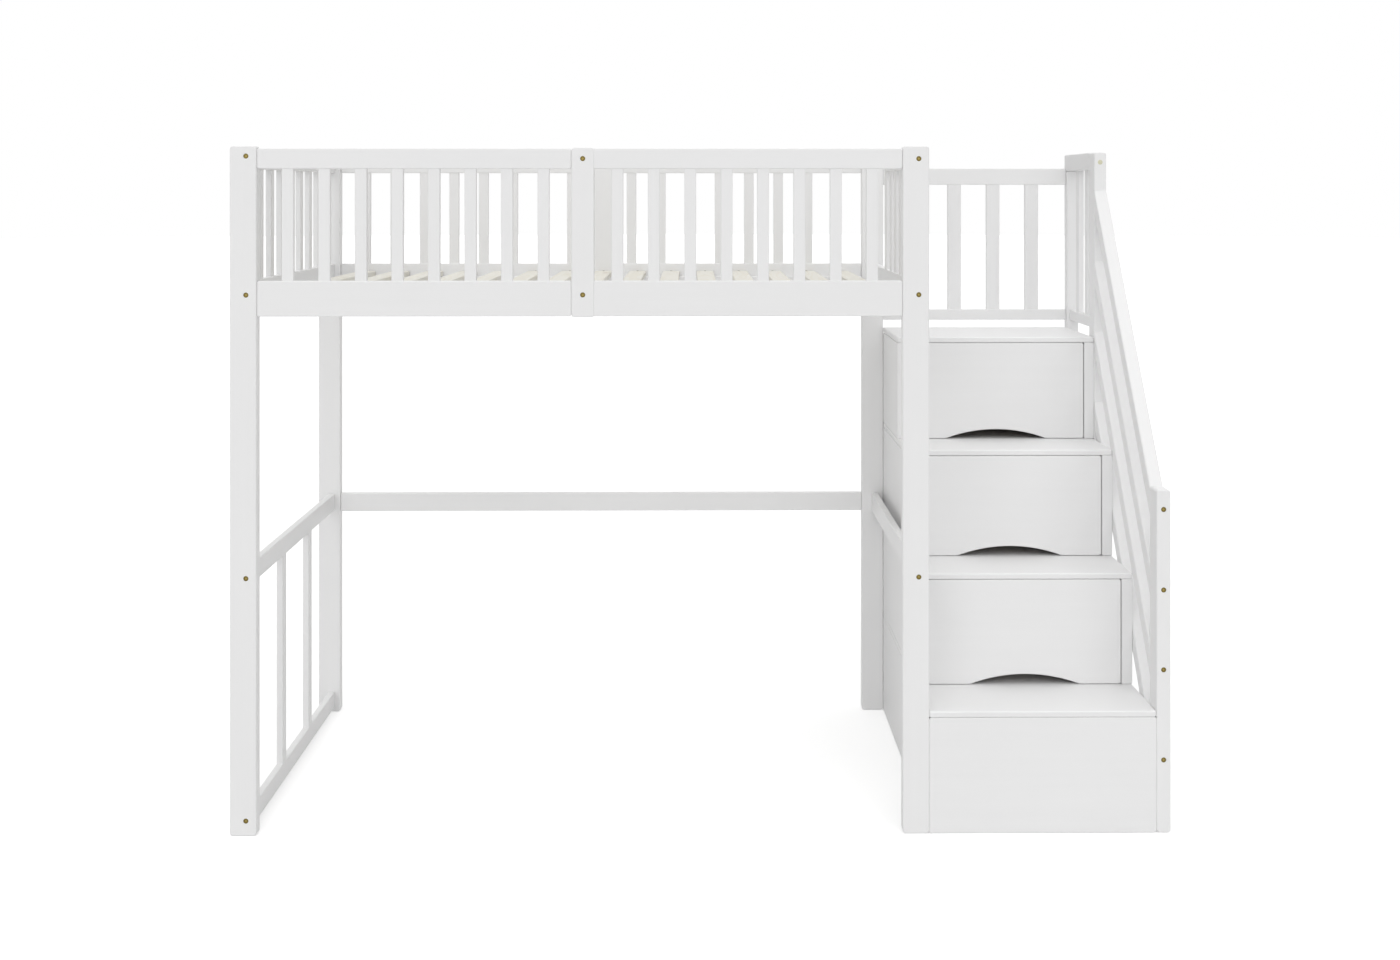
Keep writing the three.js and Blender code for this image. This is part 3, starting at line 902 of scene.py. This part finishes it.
def object_from(name, shape, finishes):
    """Turns a mesh in the making into an object of the scene."""
    mesh = bpy.data.meshes.new(name)
    shape.to_mesh(mesh)
    shape.free()
    for finish in finishes:
        mesh.materials.append(finish)
    made = bpy.data.objects.new(name, mesh)
    bpy.context.scene.collection.objects.link(made)
    return made


def fit(name, head, places, facing, fittings, finishes, body="frame"):
    """Makes one piece with a head at each of the places, and lets it ride on a body."""
    shape = bmesh.new()
    for place in places:
        head(shape, place, facing, fittings)
    bmesh.ops.recalc_face_normals(shape, faces=shape.faces)
    piece = object_from(name, shape, finishes)
    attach(piece, body)


def spread(low, high, pitch):
    """Even places from low to high, no further apart than pitch."""
    count = max(1, math.ceil((high - low) / pitch))
    return [low + (high - low) * step / count for step in range(count + 1)]


# ---- operators ----


class LOFTBED_OT_paint_bed(bpy.types.Operator):
    """Paints the bed's posts, guards, end panel, stretchers and cleats"""
    bl_idname = "loft_bed.paint_bed"
    bl_label = "Paint the Bed"

    def execute(self, context):
        paint_boards(BED_PAINT, context.scene.loft_bed.paint)
        return {"FINISHED"}


class LOFTBED_OT_paint_stair(bpy.types.Operator):
    """Paints the stair's cabinet, its posts, sloping bars and landing guards"""
    bl_idname = "loft_bed.paint_stair"
    bl_label = "Paint the Stair"

    def execute(self, context):
        paint_boards(STAIR_PAINT, context.scene.loft_bed.paint)
        return {"FINISHED"}


class LOFTBED_OT_finish_slatted_base(bpy.types.Operator):
    """Gives the slats under the mattress bare pine"""
    bl_idname = "loft_bed.finish_slatted_base"
    bl_label = "Finish the Slatted Base"

    def execute(self, context):
        pine = context.scene.loft_bed.pine
        slats = bare_wood("pine_slats", ALONG_Y, pine, contrast=0.5, knots=0.1, depth=0.00025)
        for node in RAW_PINE:
            coat(node, slats)
        return {"FINISHED"}


class LOFTBED_OT_finish_drawers(bpy.types.Operator):
    """Paints the drawers' fronts and gives their trays plain wood"""
    bl_idname = "loft_bed.finish_drawers"
    bl_label = "Finish the Drawers"

    def execute(self, context):
        settings = context.scene.loft_bed
        fronts = {f"drawer_{number}_front": one_way(ALONG_X) for number in DRAWERS}
        paint_boards(fronts, settings.paint)
        tray = tray_wood("tray_wood_plain", settings.pine)
        for number in DRAWERS:
            coat(f"drawer_{number}_tray", tray)
        return {"FINISHED"}


class LOFTBED_OT_fit_bolts(bpy.types.Operator):
    """Puts a brass bolt head in every bolt seat of the bed and the newel"""
    bl_idname = "loft_bed.fit_bolts"
    bl_label = "Fit the Bolts"

    def execute(self, context):
        settings = context.scene.loft_bed
        metals = fastener_metals(settings.brass)
        front = (-BED_FACE + SEAT_DEPTH, TO_FRONT)
        rear = (BED_FACE - SEAT_DEPTH, TO_BACK)
        rows = {
            "bed_front": (BED_BOLTS, *front),
            "bed_rear": (BED_BOLTS, *rear),
            "newel": (NEWEL_BOLTS, *front),
        }
        for row, (bolts, seat, facing) in rows.items():
            for number, (x, z) in enumerate(bolts, 1):
                name = f"bolt_{row}_{number}"
                fit(name, bolt_head, [(x, seat, z)], facing, settings.fittings, metals)
        return {"FINISHED"}


class LOFTBED_OT_fit_caps(bpy.types.Operator):
    """Covers the stair's middle post bolts: the upper with a cap, the lower with paint"""
    bl_idname = "loft_bed.fit_caps"
    bl_label = "Fit the Cover Caps"

    def execute(self, context):
        settings = context.scene.loft_bed
        plastic = cap_plastic(settings.brass.cap)
        painted = satin_paint("paint_cap", one_way(UPRIGHT), settings.paint)
        covers = {
            "upper": (cover_cap, plastic, "bolt_brass"),
            "lower": (sunk_head, painted, "painted_wood"),
        }
        seat = MIDDLE_POST_FACE + SEAT_DEPTH
        for place, (x, z) in MIDDLE_POST_CAPS.items():
            head, finish, slot = covers[place]
            name = f"cap_middle_post_{place}"
            spot = (x, seat, z)
            fit(name, head, [spot], TO_FRONT, settings.fittings, (finish,))
        return {"FINISHED"}


class LOFTBED_OT_fit_slat_screws(bpy.types.Operator):
    """Screws each slat of the base to its two cleats"""
    bl_idname = "loft_bed.fit_slat_screws"
    bl_label = "Fit the Slat Screws"

    def execute(self, context):
        settings = context.scene.loft_bed
        metals = fastener_metals(settings.brass)
        slats = [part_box(node) for node in RAW_PINE]
        for side in ("front", "rear"):
            cleat_low, cleat_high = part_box(f"base_cleat_{side}")
            y = (cleat_low.y + cleat_high.y) / 2
            places = [((low.x + high.x) / 2, y, high.z) for low, high in slats]
            fit(f"slat_screws_{side}", screw_head, places, UP, settings.fittings, metals)
        return {"FINISHED"}


class LOFTBED_OT_fit_barrel_nuts(bpy.types.Operator):
    """Puts the barrel nuts that the bolts screw into in the outer faces of the end rails"""
    bl_idname = "loft_bed.fit_barrel_nuts"
    bl_label = "Fit the Barrel Nuts"

    def execute(self, context):
        settings = context.scene.loft_bed
        metals = fastener_metals(settings.brass)
        for node, heights in END_NUTS.items():
            low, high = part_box(node)
            facing, face = (TO_LEFT, low.x) if low.x < 0.0 else (TO_RIGHT, high.x)
            ends = (low.y + NUT_FROM_END, high.y - NUT_FROM_END)
            places = [(face, y, z) for z in heights for y in ends]
            fit(f"barrel_nuts_{node}", barrel_nut, places, facing, settings.fittings, metals)
        return {"FINISHED"}


class LOFTBED_OT_fit_back_pins(bpy.types.Operator):
    """Pins the cabinet's back panel round its edge"""
    bl_idname = "loft_bed.fit_back_pins"
    bl_label = "Fit the Back Pins"

    def execute(self, context):
        settings = context.scene.loft_bed
        metals = fastener_metals(settings.brass)
        low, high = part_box("cabinet_back")
        pitch = settings.fittings.pin_pitch
        left, right = low.x + PIN_FROM_EDGE, high.x - PIN_FROM_EDGE
        bottom, top = low.z + PIN_FROM_EDGE, high.z - PIN_FROM_EDGE
        across = spread(left, right, pitch)
        between = spread(bottom, top, pitch)[1:-1]
        places = [(x, high.y, z) for z in (bottom, top) for x in across]
        places += [(x, high.y, z) for x in (left, right) for z in between]
        fit("back_panel_pins", panel_pin, places, TO_BACK, settings.fittings, metals)
        return {"FINISHED"}


class LOFTBED_OT_fit_drawer_screws(bpy.types.Operator):
    """Screws each drawer's front to its tray from the inside"""
    bl_idname = "loft_bed.fit_drawer_screws"
    bl_label = "Fit the Drawer Screws"

    def execute(self, context):
        settings = context.scene.loft_bed
        metals = fastener_metals(settings.brass)
        for number in DRAWERS:
            drawer = f"drawer_{number}"
            low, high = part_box(f"{drawer}_tray")
            wide, tall = high.x - low.x, high.z - low.z
            places = [
                (low.x + wide * x, low.y + TRAY_WALL, low.z + tall * z) for x, z in DRAWER_SCREWS
            ]
            fit(f"{drawer}_screws", screw_head, places, TO_BACK, settings.fittings, metals, drawer)
        return {"FINISHED"}


class LOFTBED_OT_set_stage(bpy.types.Operator):
    """Lays the floor, sets the light and aims the camera"""
    bl_idname = "loft_bed.set_stage"
    bl_label = "Set the Stage"

    def execute(self, context):
        stage = context.scene.loft_bed.stage
        strengths = {
            "left_front_lamp": stage.left_strength,
            "right_front_lamp": stage.right_strength,
            "top_lamp": stage.top_strength,
        }
        lay_floor(stage)
        light_the_room(context.scene, stage)
        for name, white in strengths.items():
            hang_lamp(name, white, *LAMPS[name])
        aim_camera(context.scene, stage)
        context.scene.view_settings.view_transform = "Standard"
        return {"FINISHED"}


# ---- stage ----


FLOOR_SIDES = 96
FLOOR_DROP = 0.0005

# Each lamp's softness, how far to the right of the front it hangs, and how high, in degrees.
LAMPS = {
    "left_front_lamp": (40.0, -20.0, 20.0),
    "right_front_lamp": (40.0, 20.0, 20.0),
    "top_lamp": (90.0, 0.0, 85.0),
}

# The camera: its place, its turn to the left in degrees, its film in millimetres, its lens
# shift in widths of the film, and how far it sees.
CAMERA_PLACE = (-0.0331, -4.841, 1.8452)
CAMERA_TURN = -0.522
FILM_WIDTH = 36.0
LENS_SHIFT = (-0.0026, -0.2061)
SIGHT = 500.0


def seen_directly(tree):
    """1 for rays from the camera, from a reflection and through glass, else 0."""
    path = put(tree, "ShaderNodeLightPath").outputs
    direct = calculate(tree, "MAXIMUM", path["Is Camera Ray"], path["Is Glossy Ray"])
    return calculate(tree, "MAXIMUM", direct, path["Is Transmission Ray"])


def lay_floor(stage):
    """A plain pale floor that keeps the bed's shadow."""
    material = bpy.data.materials.new("floor_pale")
    material.use_nodes = True
    tree = material.node_tree
    fill(tree, tree.nodes["Principled BSDF"], {
        "Base Color": with_alpha(stage.floor_colour),
        "Roughness": 1.0,
        "Specular IOR Level": 0.0,
        "Emission Color": WHITE,
        "Emission Strength": calculate(tree, "MULTIPLY", seen_directly(tree), stage.floor_glow),
    })
    shape = bmesh.new()
    bmesh.ops.create_circle(
        shape, cap_ends=True, segments=FLOOR_SIDES, radius=stage.floor_radius,
    )
    floor = object_from("studio_floor", shape, (material,))
    floor.location.z = -FLOOR_DROP


def light_the_room(scene, stage):
    """Even white light from all round, and a white background."""
    world = bpy.data.worlds.new("studio_room")
    scene.world = world
    world.use_nodes = True
    tree = world.node_tree
    fill(tree, tree.nodes["Background"], {
        "Color": WHITE,
        "Strength": blend(tree, "FLOAT", seen_directly(tree), stage.sky_strength, 1.0),
    })


def hang_lamp(name, white, softness, to_right, height):
    """A soft lamp far away. Its angles are in degrees, and white is how bright it alone would
    show a white surface that faces it."""
    lamp = bpy.data.lights.new(name, "SUN")
    lamp.energy = white * math.pi
    lamp.angle = math.radians(softness)
    hung = bpy.data.objects.new(name, lamp)
    bpy.context.scene.collection.objects.link(hung)
    hung.rotation_euler = (math.radians(90.0 - height), 0.0, math.radians(to_right))


def aim_camera(scene, stage):
    """The camera stands where the photograph was taken, with its lens shifted down."""
    lens = bpy.data.cameras.new("camera")
    lens.sensor_width = FILM_WIDTH
    lens.lens = stage.lens
    lens.shift_x, lens.shift_y = LENS_SHIFT
    lens.clip_end = SIGHT
    camera = bpy.data.objects.new("camera", lens)
    camera.location = CAMERA_PLACE
    camera.rotation_euler = (math.pi / 2, 0.0, math.radians(CAMERA_TURN))
    scene.collection.objects.link(camera)
    scene.camera = camera


# ---- panel and registering ----


OPERATORS = (
    LOFTBED_OT_paint_bed,
    LOFTBED_OT_paint_stair,
    LOFTBED_OT_finish_slatted_base,
    LOFTBED_OT_finish_drawers,
    LOFTBED_OT_fit_bolts,
    LOFTBED_OT_fit_caps,
    LOFTBED_OT_fit_slat_screws,
    LOFTBED_OT_fit_barrel_nuts,
    LOFTBED_OT_fit_back_pins,
    LOFTBED_OT_fit_drawer_screws,
    LOFTBED_OT_set_stage,
)


class LOFTBED_PT_panel(bpy.types.Panel):
    """Lists what builds the bed's looks"""
    bl_idname = "LOFTBED_PT_panel"
    bl_label = "Loft Bed"
    bl_space_type = "VIEW_3D"
    bl_region_type = "UI"
    bl_category = "Loft Bed"

    def draw(self, context):
        for operator in OPERATORS:
            self.layout.operator(operator.bl_idname)
        settings = context.scene.loft_bed
        for group in (settings.paint, settings.pine, settings.brass, settings.fittings,
                      settings.stage):
            box = self.layout.box()
            for name in group.bl_rna.properties.keys():
                if name not in ("rna_type", "name"):
                    box.prop(group, name)


CLASSES = (
    LoftBedPaint, LoftBedPine, LoftBedBrass, LoftBedFittings, LoftBedStage, LoftBedSettings,
    *OPERATORS, LOFTBED_PT_panel,
)


def register():
    """Adds the settings, the operators and the panel to Blender."""
    for each in CLASSES:
        bpy.utils.register_class(each)
    bpy.types.Scene.loft_bed = PointerProperty(type=LoftBedSettings)


def unregister():
    """Takes them out again."""
    del bpy.types.Scene.loft_bed
    for each in reversed(CLASSES):
        bpy.utils.unregister_class(each)


def main():
    """Builds the bed's looks and its stage."""
    register()
    bpy.ops.loft_bed.paint_bed()
    bpy.ops.loft_bed.paint_stair()
    bpy.ops.loft_bed.finish_slatted_base()
    bpy.ops.loft_bed.finish_drawers()
    bpy.ops.loft_bed.fit_bolts()
    bpy.ops.loft_bed.fit_caps()
    bpy.ops.loft_bed.fit_slat_screws()
    bpy.ops.loft_bed.fit_barrel_nuts()
    bpy.ops.loft_bed.fit_back_pins()
    bpy.ops.loft_bed.fit_drawer_screws()
    bpy.ops.loft_bed.set_stage()
    bpy.context.view_layer.update()


if __name__ == "__main__":
    main()
